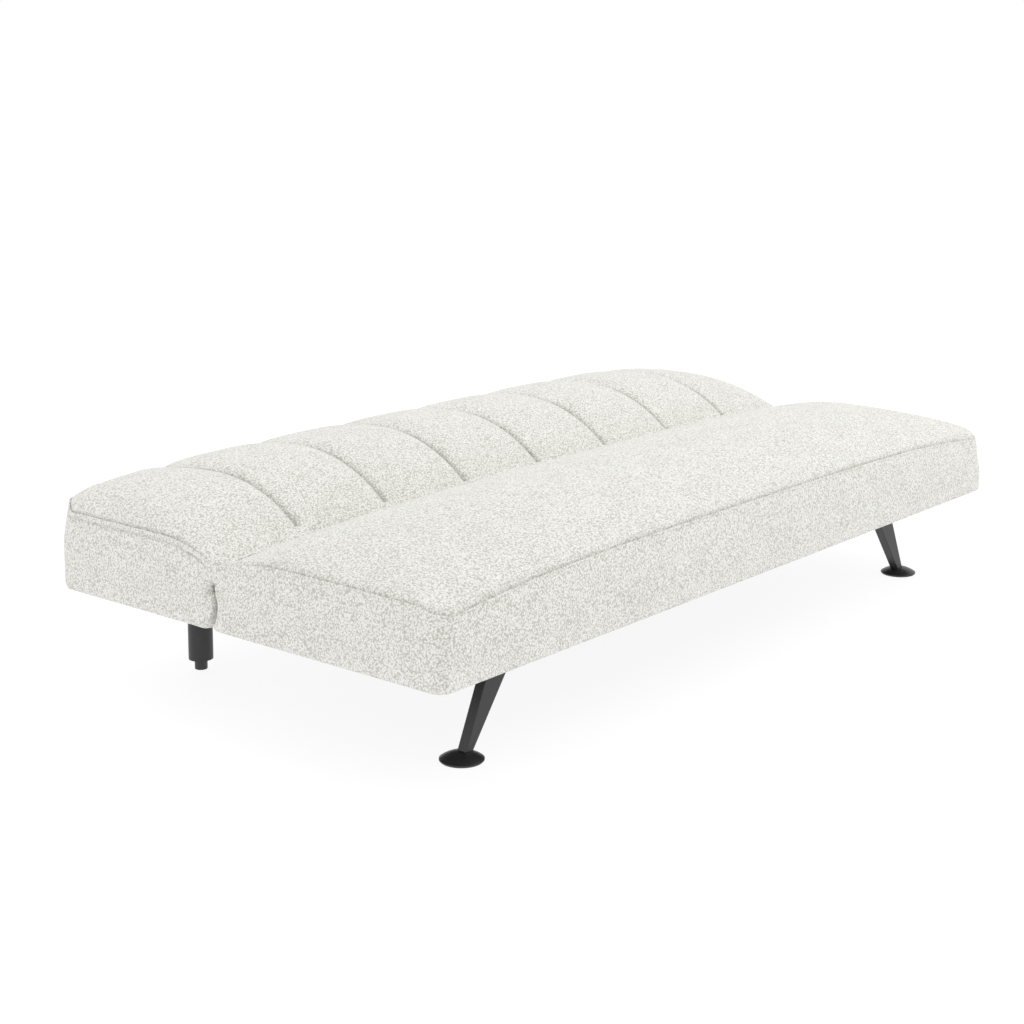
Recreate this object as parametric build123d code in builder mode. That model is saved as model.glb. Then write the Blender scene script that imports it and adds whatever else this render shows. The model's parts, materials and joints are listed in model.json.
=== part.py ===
from build123d import *
import os
from dataclasses import dataclass
from math import cos, radians, sin, sqrt

os.makedirs("parts", exist_ok=True)

# The bed laid flat: X runs along its length, the seat's front faces -Y and the floor is z = 0
bed_length = 1800.0
seat_depth = 515.0
back_depth = 435.0
underside = 175.0
fold_angle = 72.0
fold_gap = 6.0
pivot_rise = 115.0
click_step = 36.0

# Upholstery
corner_radius = 30.0
fold_corner_radius = 14.0
straight_rise = 90.0
draw_in_rise = 240.0
draw_in = 24.0
seam_inset = 8.5
cover_side = 4.0
seat_wadding = 8.0
back_wadding = 22.0
hem_width = 40.0
soft_gap = 0.3
welt_proud = 3.0
welt_sunk = 3.0
channel_count = 8
channel_depth = 13.0
dust_thickness = 1.5
dust_inset = 15.0

# Wooden frames
frame_margin = 28.0
rail_thickness = 22.0
rail_depth = 70.0
mount_width = 30.0
spring_room = 8.0
spring_wire_radius = 1.75
spring_width = 46.0
spring_rows = 15
spring_count = 7
spring_spacing = 235.0
clip_length = 14.0
clip_width = 9.0
clip_height = 5.0

# Steel base
leg_x = 692.0
rear_leg_reach = 277.0
rear_leg_radius = 23.0
rear_leg_wall = 2.0
base_width = 30.0
base_height = 40.0
base_wall = 2.5
base_front_setback = 150.0
base_rear_overhang = 30.0
cross_tube = 25.0
cross_tube_wall = 2.0
cross_front_setback = 240.0
cross_rear_reach = 215.0
cap_thickness = 3.0
cap_plug = 15.0
pad_height = 10.0
pad_length = 44.0
pad_width = 28.0
bolt_front_setback = 195.0
bolt_fold_setback = 110.0
rest_pad_reach = 245.0
bolt_radius = 4.0
bolt_head_radius = 7.0
bolt_head_height = 5.0
bolt_grip = 36.0
hole_play = 0.2

# Rear levelling feet
foot_height = 20.0
foot_radius = 12.0
foot_edge_radius = 1.2
stud_radius = 5.0
stud_length = 36.0
plug_length = 24.0
running_play = 0.05

# Front legs
front_leg_x = 729.0
front_leg_setback = 111.0
front_leg_lean = 0.6
leg_top_width = 65.0
leg_top_depth = 20.0
leg_foot_width = 17.0
leg_foot_depth = 19.0
leg_edge_radius = 2.0
plate_length = 88.0
plate_width = 64.0
plate_thickness = 5.0
plate_hole_spacing_x = 70.0
plate_hole_spacing_y = 44.0
screw_radius = 2.5
screw_head_radius = 5.0
screw_head_height = 3.0
screw_grip = 30.0
glide_radius = 37.5
glide_rim = 4.0
glide_height = 16.0
glide_floor = 4.0
block_depth = 90.0
block_height = 45.0

# Ratchet hinges
post_thickness = 5.0
arm_thickness = 5.0
washer_thickness = 1.0
side_play = 0.1
eye_radius = 14.0
pin_radius = 6.0
pin_head_radius = 9.5
pin_head_height = 3.0
washer_radius = 12.0
sector_radius = 48.0
notch_floor = 41.0
notch_wide = 244.0
notch_base = 259.0
notch_face = 269.5
notch_lip = 271.0
sector_margin = 6.0
arm_length = 200.0
arm_bolt_first = 135.0
arm_bolt_pitch = 45.0
arm_bolt_drop = 58.0
arm_top_drop = 46.0
arm_bottom_drop = 78.0
arm_elbow = 70.0
post_front = 40.0
post_rear = 30.0
post_waist_drop = 60.0
pawl_pivot_radius = 75.0
pawl_pivot_angle = 250.0
pawl_tip_radius = 51.0
pawl_tip_angle = 272.0
pawl_tip_half = 2.5
pawl_hub_radius = 8.0
pawl_pin_radius = 4.0
pawl_pin_head_radius = 6.5
pawl_pin_head_height = 2.0
leaf_thickness = 1.2
leaf_play = 0.5
leaf_foot = 12.0
leaf_foot_thickness = 4.0
slot_margin = 4.0
slot_headroom = 18.0

# Places worked out from the sizes above
bed_depth = seat_depth + back_depth
front_y = -bed_depth / 2
fold_y = front_y + seat_depth
half_length = bed_length / 2
seam_length = half_length - seam_inset
half_gap = fold_gap / 2
pivot_z = underside + pivot_rise
frame_bottom = underside + cover_side
frame_top = frame_bottom + rail_depth
frame_x = half_length - frame_margin
end_rail_x = frame_x - rail_thickness
dust_bottom = underside - dust_thickness
base_top = dust_bottom - pad_height
base_bottom = base_top - base_height
post_x = leg_x + base_width / 2
arm_x = post_x + post_thickness + washer_thickness + side_play
rear_leg_y = fold_y + rear_leg_reach
slot_low_x = post_x - pin_head_height - slot_margin
slot_high_x = arm_x + arm_thickness + side_play + pin_head_height + slot_margin
seat_slot = sector_radius + slot_margin + 2
back_slot = arm_elbow + rail_thickness
seat_front_rail_y = front_y + frame_margin
seat_rear_rail_y = fold_y - seat_slot - slot_margin - rail_thickness
back_front_rail_y = fold_y + back_slot
back_rear_rail_y = fold_y + back_depth - frame_margin - rail_thickness
plate_top = dust_bottom
plate_bottom = plate_top - plate_thickness
front_leg_y = front_y + front_leg_setback
leg_top_x = front_leg_x - front_leg_lean * plate_bottom
pawl_pivot = Vector(cos(radians(pawl_pivot_angle)), sin(radians(pawl_pivot_angle))) * pawl_pivot_radius
pawl_tip = Vector(cos(radians(pawl_tip_angle)), sin(radians(pawl_tip_angle))) * pawl_tip_radius
pawl_along = (pawl_tip - pawl_pivot).normalized()
pawl_across = Vector(-pawl_along.Y, pawl_along.X)


def save(piece, name):
    piece.label = name
    export_step(piece, f"parts/{name}.step")


def save_pair(right_piece, name):
    save(right_piece, f"{name}_right")
    save(mirror(right_piece, about=Plane.YZ), f"{name}_left")


# Upholstery forms, measured from the fold towards the free edge
@dataclass
class Cushion:
    side: int
    depth: float
    crest_reach: float
    crest_rise: float
    seam_rise: float
    end_crest_rise: float
    end_seam_rise: float
    roll_width: float
    crown_share: float
    end_fall: float


seat = Cushion(-1, seat_depth, 240.0, 214.0, 125.0, 136.0, 122.0, 62.0, 0.33, 3.0)
back = Cushion(1, back_depth, 230.0, 228.0, 144.0, 145.5, 142.0, 52.0, 0.27, 4.8)
end_stations = (1.012, seam_length / half_length, 0.978, 0.945, 0.88)
middle_stations = (0.78, 0.62, 0.42, 0.2, 0.0)
channel_puff = ((0.0, 1.0), (0.07, 0.5), (0.17, 0.17), (0.3, 0.03), (0.5, 0.0),
                (0.7, 0.03), (0.83, 0.17), (0.93, 0.5), (1.0, 1.0))
crown_margin = 20.0


def fullness(share, fall):
    return sqrt(1 - min(abs(share), 1.0) ** fall)


def crown_section(cushion, x, drop, dip):
    full = fullness(x / seam_length, cushion.end_fall)
    crest = underside + cushion.end_crest_rise + (cushion.crest_rise - cushion.end_crest_rise) * full
    seam = underside + cushion.end_seam_rise + (cushion.seam_rise - cushion.end_seam_rise) * full
    crest_z = crest - dip - drop
    roll_z = crest_z - cushion.crown_share * (crest_z - (seam - drop))
    crest_y = fold_y + cushion.side * cushion.crest_reach
    roll_y = fold_y + cushion.side * (cushion.depth - cushion.roll_width)
    seam_y = fold_y + cushion.side * (cushion.depth + welt_proud)
    low = underside - crown_margin
    with BuildSketch(Plane.YZ.offset(x)) as section:
        with BuildLine():
            TangentArc((crest_y, crest_z), (fold_y, pivot_z - drop), tangent=(-cushion.side, 0))
            crown_arc = TangentArc((crest_y, crest_z), (roll_y, roll_z), tangent=(cushion.side, 0))
            TangentArc((roll_y, roll_z), (seam_y, seam - drop), tangent=crown_arc % 1)
            Polyline((seam_y, seam - drop), (seam_y, low), (fold_y, low), (fold_y, pivot_z - drop))
        make_face()
    return section.sketch


def plain_crown(cushion, drop):
    shares = {side * share for side in (-1, 1) for share in end_stations + middle_stations}
    sections = [crown_section(cushion, share * half_length, drop, 0.0) for share in sorted(shares)]
    with BuildPart() as crown:
        loft(sections, ruled=True)
    return crown.part


def channelled_crown(cushion, drop):
    pitch = 2 * half_length / channel_count
    end_zone = half_length - pitch / 2
    stations = {side * share * half_length: 0.0 for side in (-1, 1) for share in end_stations}
    for channel in range(channel_count):
        start = -half_length + channel * pitch
        for share, dip in channel_puff:
            x = round(start + share * pitch, 3)
            if abs(x) < end_zone:
                stations[x] = dip * channel_depth
    sections = [crown_section(cushion, x, drop, stations[x]) for x in sorted(stations)]
    with BuildPart() as crown:
        loft(sections, ruled=True)
    return crown.part


def side_walls(cushion, inset, floor):
    levels = ((floor, 0.0), (straight_rise, 0.0), (draw_in_rise, draw_in))
    with BuildPart() as walls:
        for rise, lean in levels:
            near = half_gap + inset
            far = cushion.depth - inset - lean
            with BuildSketch(Plane.XY.offset(underside + rise)) as outline:
                with Locations((0, fold_y + cushion.side * (near + far) / 2)):
                    Rectangle(2 * (half_length - inset - lean), far - near)
                rows = outline.vertices().group_by(Axis.Y)
                fold_row = -1 if cushion.side < 0 else 0
                fillet(rows[-1 - fold_row], corner_radius - inset)
                fillet(rows[fold_row], fold_corner_radius - inset)
        loft(ruled=True)
    return walls.part


def cushion_block(cushion, inset, floor, crown):
    with BuildPart() as block:
        add(side_walls(cushion, inset, floor))
        add(crown, mode=Mode.INTERSECT)
    return block.part


def hinge_slots(cushion, reach):
    low = base_bottom
    high = pivot_z + slot_headroom
    width = slot_high_x - slot_low_x
    middle_x = (slot_low_x + slot_high_x) / 2
    with BuildPart() as slots:
        for side in (-1, 1):
            with Locations((side * middle_x, fold_y + cushion.side * reach / 2, (low + high) / 2)):
                Box(width, reach, high - low)
    return slots.part


def frame_pocket(y_low, y_high):
    play = soft_gap
    with BuildPart() as pocket:
        with Locations((0, (y_low + y_high) / 2, (underside + frame_top + spring_room) / 2)):
            Box(2 * (frame_x + play), y_high - y_low + 2 * play, frame_top + spring_room - underside)
    return pocket.part


def welt_band(cushion, upper, lower, sunk):
    keep_depth = cushion.depth - fold_corner_radius - half_gap
    keep_y = fold_y + cushion.side * (fold_corner_radius + half_gap + keep_depth / 2)
    with BuildPart() as band:
        add(side_walls(cushion, -welt_proud, 0.0))
        add(side_walls(cushion, sunk, 0.0), mode=Mode.SUBTRACT)
        add(upper, mode=Mode.INTERSECT)
        add(lower, mode=Mode.SUBTRACT)
        with Locations((0, keep_y, underside + draw_in_rise / 2)):
            Box(bed_length + crown_margin, keep_depth + 2 * welt_proud, draw_in_rise, mode=Mode.INTERSECT)
    return band.part


def upholster(cushion, name, crown_form, wadding, slot, y_low, y_high):
    outer = crown_form(cushion, 0.0)
    slots = hinge_slots(cushion, slot)
    above_seam = crown_form(cushion, -welt_proud)
    save(welt_band(cushion, above_seam, crown_form(cushion, welt_sunk), welt_sunk), f"{name}_welt")
    groove_sunk = welt_sunk + soft_gap
    groove = welt_band(cushion, above_seam, crown_form(cushion, groove_sunk), groove_sunk)
    inside = cushion_block(cushion, cover_side, cover_side, plain_crown(cushion, wadding))
    near = half_gap + hem_width
    far = cushion.depth - hem_width
    with BuildPart() as cover:
        add(cushion_block(cushion, 0.0, 0.0, outer))
        add(inside, mode=Mode.SUBTRACT)
        with Locations((0, fold_y + cushion.side * (near + far) / 2, underside)):
            Box(2 * (half_length - hem_width), far - near, 4 * cover_side, mode=Mode.SUBTRACT)
        add(slots, mode=Mode.SUBTRACT)
        add(groove, mode=Mode.SUBTRACT)
    save(cover.part, f"{name}_cover")
    foam_inset = cover_side + soft_gap
    with BuildPart() as foam:
        add(cushion_block(cushion, foam_inset, foam_inset, plain_crown(cushion, wadding + soft_gap)))
        add(frame_pocket(y_low, y_high), mode=Mode.SUBTRACT)
        add(slots, mode=Mode.SUBTRACT)
    save(foam.part, f"{name}_foam")


def dust_cover(cushion, name, slot, holes):
    near = half_gap + dust_inset
    far = cushion.depth - dust_inset
    with BuildPart() as sheet:
        with BuildSketch(Plane.XY.offset(dust_bottom)):
            with Locations((0, fold_y + cushion.side * (near + far) / 2)):
                RectangleRounded(2 * (half_length - dust_inset), far - near, corner_radius - dust_inset / 2)
            for radius, points in holes:
                with Locations(*points):
                    Circle(radius, mode=Mode.SUBTRACT)
        extrude(amount=dust_thickness)
        add(hinge_slots(cushion, slot), mode=Mode.SUBTRACT)
    save(sheet.part, f"{name}_dust_cover")


# Wooden frames with their springs
def box_between(low, high):
    with Locations(((low[0] + high[0]) / 2, (low[1] + high[1]) / 2, (low[2] + high[2]) / 2)):
        Box(high[0] - low[0], high[1] - low[1], high[2] - low[2])


def long_rail(name, y, notches=()):
    with BuildPart() as rail:
        box_between((-end_rail_x, y, frame_bottom), (end_rail_x, y + rail_thickness, frame_top))
        for notch in notches:
            with Locations(notch):
                notch_width = arm_thickness + 2 * slot_margin
                Box(notch_width, 2 * rail_thickness, 2 * arm_notch_depth, mode=Mode.SUBTRACT)
    save(rail.part, name)


def end_rails(name, y_low, y_high):
    with BuildPart() as rail:
        box_between((end_rail_x, y_low, frame_bottom), (frame_x, y_high, frame_top))
    save_pair(rail.part, f"{name}_end_rail")


def mount_rails(name, x_low, x_high, y_low, y_high, holes):
    with BuildPart() as rail:
        box_between((x_low, y_low, underside), (x_high, y_high, frame_top))
        for plane, radius in holes:
            with BuildSketch(plane):
                Circle(radius)
            extrude(amount=bolt_grip, mode=Mode.SUBTRACT)
    save_pair(rail.part, f"{name}_mount_rail")


def centre_rail(name, y_low, y_high):
    with BuildPart() as rail:
        box_between((-rail_thickness / 2, y_low, frame_bottom), (rail_thickness / 2, y_high, frame_top))
    save(rail.part, f"{name}_centre_rail")


def springs(name, y_low, y_high):
    first = y_low + rail_thickness / 2
    last = y_high - rail_thickness / 2
    pitch = (last - first) / spring_rows
    z = frame_top + spring_wire_radius
    columns = [spring_spacing * (column - (spring_count - 1) / 2) for column in range(spring_count)]
    with BuildPart() as wires:
        for x in columns:
            with BuildLine() as path:
                for row in range(spring_rows + 1):
                    y = first + row * pitch
                    reach = spring_width / 2 * (1 if row % 2 == 0 else -1)
                    Line((x - reach, y, z), (x + reach, y, z))
                    if row < spring_rows:
                        turn = 180 if reach > 0 else -180
                        CenterArc((x + reach, y + pitch / 2, z), pitch / 2, -90, turn)
            with BuildSketch(Plane(origin=path.line @ 0, z_dir=path.line % 0)):
                Circle(spring_wire_radius)
            sweep(path=path.line)
    save(wires.part, f"{name}_springs")
    with BuildPart() as clips:
        with Locations(*[(x, y, frame_top + clip_height / 2) for x in columns for y in (first, last)]):
            Box(clip_length, clip_width, clip_height)
        groove = 2 * (spring_wire_radius + hole_play)
        with Locations(*[(x, y, frame_top + groove / 2) for x in columns for y in (first, last)]):
            Box(clip_length, groove, groove, mode=Mode.SUBTRACT)
    save(clips.part, f"{name}_spring_clips")


# Seat
arm_notch_depth = frame_top - (pivot_z - arm_bottom_drop) + slot_margin
seat_frame_back = seat_rear_rail_y + rail_thickness
bolt_spots = [front_y + bolt_front_setback, fold_y - bolt_fold_setback]
base_bolt_points = [(side * leg_x, y) for side in (-1, 1) for y in bolt_spots]
screw_points = [
    (side * (leg_top_x + dx * plate_hole_spacing_x / 2), front_leg_y + dy * plate_hole_spacing_y / 2)
    for side in (-1, 1) for dx in (-1, 1) for dy in (-1, 1)
]
seat_bay_low = seat_front_rail_y + rail_thickness
upholster(seat, "seat", plain_crown, seat_wadding, seat_slot, seat_front_rail_y, seat_frame_back)
dust_cover(seat, "seat", seat_slot,
           [(bolt_radius + hole_play, base_bolt_points), (screw_radius + hole_play, screw_points)])
long_rail("seat_front_rail", seat_front_rail_y)
long_rail("seat_rear_rail", seat_rear_rail_y)
end_rails("seat", seat_front_rail_y, seat_frame_back)
seat_mount_low_x = leg_x - mount_width / 2
mount_rails("seat", seat_mount_low_x, leg_x + mount_width / 2, seat_bay_low, seat_rear_rail_y,
            [(Plane(origin=(leg_x, y, underside)), bolt_radius + hole_play) for y in bolt_spots])
centre_rail("seat", seat_bay_low, seat_rear_rail_y)
springs("seat", seat_front_rail_y, seat_frame_back)

with BuildPart() as leg_blocks:
    for side in (-1, 1):
        x_high = seat_mount_low_x
        x_low = x_high - plate_length - 2 * slot_margin
        xs = sorted((side * x_low, side * x_high))
        block_end = (xs[1], seat_bay_low + block_depth, underside + block_height)
        box_between((xs[0], seat_bay_low, underside), block_end)
    with BuildSketch(Plane.XY.offset(underside)):
        with Locations(*screw_points):
            Circle(screw_radius + hole_play)
    extrude(amount=screw_grip, mode=Mode.SUBTRACT)
save(leg_blocks.part, "seat_leg_blocks")

# Back
back_frame_end = back_rear_rail_y + rail_thickness
back_bay_low = back_front_rail_y + rail_thickness
arm_bolt_spots = [arm_bolt_first, arm_bolt_first + arm_bolt_pitch]
arm_bolt_z = pivot_z - arm_bolt_drop
arm_notches = [(side * (arm_x + arm_thickness / 2), back_front_rail_y, frame_top) for side in (-1, 1)]
upholster(back, "back", channelled_crown, back_wadding, back_slot, back_front_rail_y, back_frame_end)
dust_cover(back, "back", back_slot, [])
long_rail("back_front_rail", back_front_rail_y, arm_notches)
long_rail("back_rear_rail", back_rear_rail_y)
end_rails("back", back_front_rail_y, back_frame_end)
arm_bolt_planes = [
    Plane(origin=(arm_x, fold_y + reach, arm_bolt_z), z_dir=(-1, 0, 0)) for reach in arm_bolt_spots
]
mount_rails("back", arm_x - mount_width, arm_x, back_bay_low, back_rear_rail_y,
            [(plane, bolt_radius + hole_play) for plane in arm_bolt_planes])
centre_rail("back", back_bay_low, back_rear_rail_y)
springs("back", back_front_rail_y, back_frame_end)

# Steel base
base_front = front_y + base_front_setback
base_rear = rear_leg_y + base_rear_overhang
base_middle_z = (base_top + base_bottom) / 2
rail_start = Plane(origin=(leg_x, base_front, base_middle_z), x_dir=(1, 0, 0), z_dir=(0, 1, 0))
with BuildPart() as base_rail:
    with BuildSketch(rail_start):
        Rectangle(base_width, base_height)
        Rectangle(base_width - 2 * base_wall, base_height - 2 * base_wall, mode=Mode.SUBTRACT)
    extrude(amount=base_rear - base_front)
    with BuildSketch(Plane.XY.offset(base_bottom)):
        with Locations(*[(leg_x, y) for y in bolt_spots]):
            Circle(bolt_radius + hole_play)
    extrude(amount=base_height, mode=Mode.SUBTRACT)
save_pair(base_rail.part, "base_rail")

with BuildPart() as caps:
    for side in (-1, 1):
        for y, way in ((base_front, -1), (base_rear, 1)):
            with Locations((side * leg_x, y + way * cap_thickness / 2, base_middle_z)):
                Box(base_width, cap_thickness, base_height)
            inner = 2 * (base_wall + hole_play)
            with Locations((side * leg_x, y - way * cap_plug / 2, base_middle_z)):
                Box(base_width - inner, cap_plug, base_height - inner)
save(caps.part, "base_rail_caps")

for name, y in (("front", front_y + cross_front_setback), ("rear", fold_y + cross_rear_reach)):
    span = 2 * (leg_x - base_width / 2)
    with BuildPart() as tube:
        with BuildSketch(Plane(origin=(-span / 2, y, base_middle_z), x_dir=(0, 1, 0), z_dir=(1, 0, 0))):
            Rectangle(cross_tube, cross_tube)
            inside = cross_tube - 2 * cross_tube_wall
            Rectangle(inside, inside, mode=Mode.SUBTRACT)
        extrude(amount=span)
    save(tube.part, f"base_cross_tube_{name}")

with BuildPart() as seat_pads:
    with BuildSketch(Plane.XY.offset(base_top)):
        with Locations(*base_bolt_points):
            Rectangle(pad_width, pad_length)
            Circle(bolt_radius + hole_play, mode=Mode.SUBTRACT)
    extrude(amount=pad_height)
save(seat_pads.part, "seat_rail_pads")

with BuildPart() as rest_pads:
    with BuildSketch(Plane.XY.offset(base_top)):
        with Locations(*[(side * leg_x, fold_y + rest_pad_reach) for side in (-1, 1)]):
            Rectangle(pad_width, pad_length)
    extrude(amount=pad_height)
save(rest_pads.part, "back_rest_pads")

with BuildPart() as base_bolts:
    with BuildSketch(Plane.XY.offset(base_bottom)):
        with Locations(*base_bolt_points):
            Circle(bolt_radius)
    extrude(amount=underside + bolt_grip - base_bottom)
    with BuildSketch(Plane.XY.offset(base_bottom)):
        with Locations(*base_bolt_points):
            RegularPolygon(bolt_head_radius, 6)
    extrude(amount=-bolt_head_height)
save(base_bolts.part, "base_rail_bolts")

# Rear legs and their levelling feet
tube_bore = rear_leg_radius - rear_leg_wall
with BuildPart() as rear_leg:
    with BuildSketch(Plane(origin=(leg_x, rear_leg_y, foot_height))):
        Circle(rear_leg_radius)
        Circle(tube_bore, mode=Mode.SUBTRACT)
    extrude(amount=base_bottom - foot_height)
save_pair(rear_leg.part, "rear_leg")

with BuildPart() as leg_plug:
    with BuildSketch(Plane(origin=(leg_x, rear_leg_y, foot_height))):
        Circle(tube_bore - running_play)
        Circle(stud_radius + running_play, mode=Mode.SUBTRACT)
    extrude(amount=plug_length)
save_pair(leg_plug.part, "rear_leg_plug")

with BuildPart() as levelling_foot:
    with BuildSketch(Plane(origin=(leg_x, rear_leg_y, 0))):
        Circle(foot_radius)
    extrude(amount=foot_height)
    fillet(levelling_foot.edges().group_by(Axis.Z)[0], foot_edge_radius)
    with BuildSketch(Plane(origin=(leg_x, rear_leg_y, foot_height))):
        Circle(stud_radius)
    extrude(amount=stud_length)
save_pair(levelling_foot.part, "rear_foot")


# Front legs
def leg_form(play, low):
    with BuildPart() as form:
        for z in (low, plate_bottom):
            share = (z - glide_floor) / (plate_bottom - glide_floor)
            width = leg_foot_width + share * (leg_top_width - leg_foot_width) + 2 * play
            depth = leg_foot_depth + share * (leg_top_depth - leg_foot_depth) + 2 * play
            with BuildSketch(Plane(origin=(front_leg_x - front_leg_lean * z, front_leg_y, z))):
                RectangleRounded(width, depth, leg_edge_radius)
        loft(ruled=True)
    return form.part


save_pair(leg_form(0.0, glide_floor), "front_leg")

glide_plane = Plane(origin=(front_leg_x, front_leg_y, 0), x_dir=(1, 0, 0), z_dir=(0, -1, 0))
with BuildPart() as glide:
    with BuildSketch(glide_plane):
        with BuildLine():
            Polyline((0, glide_height), (0, 0), (glide_radius - glide_rim / 2, 0),
                     (glide_radius, glide_rim / 2), (glide_radius, glide_rim))
            TangentArc((0, glide_height), (glide_radius, glide_rim), tangent=(1, 0))
        make_face()
    revolve(axis=Axis((front_leg_x, front_leg_y, 0), (0, 0, 1)))
    add(leg_form(hole_play, glide_floor), mode=Mode.SUBTRACT)
save_pair(glide.part, "front_foot")

with BuildPart() as leg_plate:
    with BuildSketch(Plane(origin=(leg_top_x, front_leg_y, plate_bottom))):
        RectangleRounded(plate_length, plate_width, 2 * leg_edge_radius)
        with GridLocations(plate_hole_spacing_x, plate_hole_spacing_y, 2, 2):
            Circle(screw_radius + hole_play, mode=Mode.SUBTRACT)
    extrude(amount=plate_thickness)
save_pair(leg_plate.part, "front_leg_plate")

with BuildPart() as leg_screws:
    with BuildSketch(Plane.XY.offset(plate_bottom)):
        with Locations(*screw_points):
            Circle(screw_radius)
    extrude(amount=underside + screw_grip - plate_bottom)
    with BuildSketch(Plane.XY.offset(plate_bottom)):
        with Locations(*screw_points):
            Circle(screw_head_radius)
    extrude(amount=-screw_head_height)
save(leg_screws.part, "front_leg_screws")

# Ratchet hinges: plates across X, drawn from the fold axis with Y to the right
post_plane = Plane(origin=(post_x, fold_y, pivot_z), x_dir=(0, 1, 0), z_dir=(1, 0, 0))
washer_plane = post_plane.offset(post_thickness)
arm_plane = post_plane.offset(arm_x - post_x)
stack = arm_x + arm_thickness + side_play - post_x
post_foot = base_bottom - pivot_z
with BuildPart() as post:
    with BuildSketch(post_plane):
        Circle(eye_radius)
        with BuildLine():
            Polyline((-eye_radius, 0), (-post_front, -post_waist_drop), (-post_front, post_foot),
                     (post_rear, post_foot), (post_rear, -post_waist_drop), (eye_radius, 0), close=True)
        make_face()
        Circle(pin_radius + running_play, mode=Mode.SUBTRACT)
        with Locations((pawl_pivot.X, pawl_pivot.Y)):
            Circle(pawl_pin_radius + running_play, mode=Mode.SUBTRACT)
    extrude(amount=post_thickness)
save_pair(post.part, "hinge_post")


def polar(radius, angle):
    return (radius * cos(radians(angle)), radius * sin(radians(angle)))


sector_start = notch_wide - fold_angle - sector_margin
sector_end = notch_lip + sector_margin
with BuildPart() as arm:
    with BuildSketch(arm_plane):
        Circle(eye_radius)
        with BuildLine():
            Polyline((0, eye_radius), (back_slot - slot_margin, -arm_top_drop),
                     (arm_length, -arm_top_drop), (arm_length, -arm_bottom_drop),
                     (arm_elbow, -arm_bottom_drop), (0, -eye_radius), close=True)
        make_face()
        with BuildLine():
            Polyline(polar(sector_radius, sector_end), (0, 0), polar(sector_radius, sector_start))
            CenterArc((0, 0), sector_radius, sector_start, sector_end - sector_start)
        make_face()
        for click in range(int(fold_angle // click_step) + 1):
            turn = click * click_step
            rim = sector_radius + slot_margin
            with BuildLine():
                Polyline(polar(rim, notch_lip - turn), polar(notch_floor, notch_face - turn),
                         polar(notch_floor, notch_base - turn), polar(rim, notch_wide - turn), close=True)
            make_face(mode=Mode.SUBTRACT)
        Circle(pin_radius + running_play, mode=Mode.SUBTRACT)
        with Locations(*[(reach, -arm_bolt_drop) for reach in arm_bolt_spots]):
            Circle(bolt_radius + hole_play, mode=Mode.SUBTRACT)
    extrude(amount=arm_thickness)
save_pair(arm.part, "hinge_arm")

with BuildPart() as hinge_pin:
    with BuildSketch(post_plane.offset(-pin_head_height)):
        Circle(pin_head_radius)
    extrude(amount=pin_head_height)
    with BuildSketch(post_plane):
        Circle(pin_radius)
    extrude(amount=stack)
    with BuildSketch(post_plane.offset(stack)):
        Circle(pin_head_radius)
    extrude(amount=pin_head_height)
save_pair(hinge_pin.part, "hinge_pin")

with BuildPart() as washers:
    with BuildSketch(washer_plane):
        Circle(washer_radius)
        Circle(pin_radius + running_play, mode=Mode.SUBTRACT)
    extrude(amount=washer_thickness)
    mirror(about=Plane.YZ)
save(washers.part, "hinge_washers")

with BuildPart() as arm_bolts:
    for plane in arm_bolt_planes:
        with BuildSketch(plane.offset(-arm_thickness)):
            Circle(bolt_radius)
        extrude(amount=arm_thickness + bolt_grip - slot_margin)
        with BuildSketch(plane.offset(-arm_thickness)):
            RegularPolygon(bolt_head_radius, 6)
        extrude(amount=-bolt_head_height)
    mirror(about=Plane.YZ)
save(arm_bolts.part, "hinge_arm_bolts")

hub_half = pawl_hub_radius - 1
with BuildPart() as pawl:
    with BuildSketch(arm_plane):
        with Locations((pawl_pivot.X, pawl_pivot.Y)):
            Circle(pawl_hub_radius)
        corners = [
            pawl_pivot + pawl_across * hub_half, pawl_tip + pawl_across * pawl_tip_half,
            pawl_tip - pawl_across * pawl_tip_half, pawl_pivot - pawl_across * hub_half,
        ]
        with BuildLine():
            Polyline(*[(point.X, point.Y) for point in corners], close=True)
        make_face()
        with Locations((pawl_pivot.X, pawl_pivot.Y)):
            Circle(pawl_pin_radius + running_play, mode=Mode.SUBTRACT)
    extrude(amount=arm_thickness)
save_pair(pawl.part, "pawl")

with BuildPart() as pawl_pins:
    for start, radius, length in (
        (-pawl_pin_head_height, pawl_pin_head_radius, pawl_pin_head_height),
        (0.0, pawl_pin_radius, stack),
        (stack, pawl_pin_head_radius, pawl_pin_head_height),
    ):
        with BuildSketch(post_plane.offset(start)):
            with Locations((pawl_pivot.X, pawl_pivot.Y)):
                Circle(radius)
        extrude(amount=length)
    mirror(about=Plane.YZ)
save(pawl_pins.part, "pawl_pins")

# Each pawl spring is a leaf under its pawl, held on the post by a thicker foot
leaf_near = pawl_pivot - pawl_across * (pawl_hub_radius + leaf_play)
leaf_far = pawl_tip - pawl_across * (pawl_hub_radius + leaf_play)
leaf_corners = [
    leaf_near - pawl_along * leaf_foot, leaf_far, leaf_far - pawl_across * leaf_thickness,
    leaf_near - pawl_across * leaf_thickness, leaf_near - pawl_across * leaf_foot_thickness,
    leaf_near - pawl_across * leaf_foot_thickness - pawl_along * leaf_foot,
]
with BuildPart() as leaves:
    with BuildSketch(washer_plane):
        with BuildLine():
            Polyline(*[(point.X, point.Y) for point in leaf_corners], close=True)
        make_face()
    extrude(amount=arm_thickness + washer_thickness)
    mirror(about=Plane.YZ)
save(leaves.part, "pawl_springs")
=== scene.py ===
import bpy
import json
import math
import numpy as np
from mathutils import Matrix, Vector, kdtree


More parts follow.
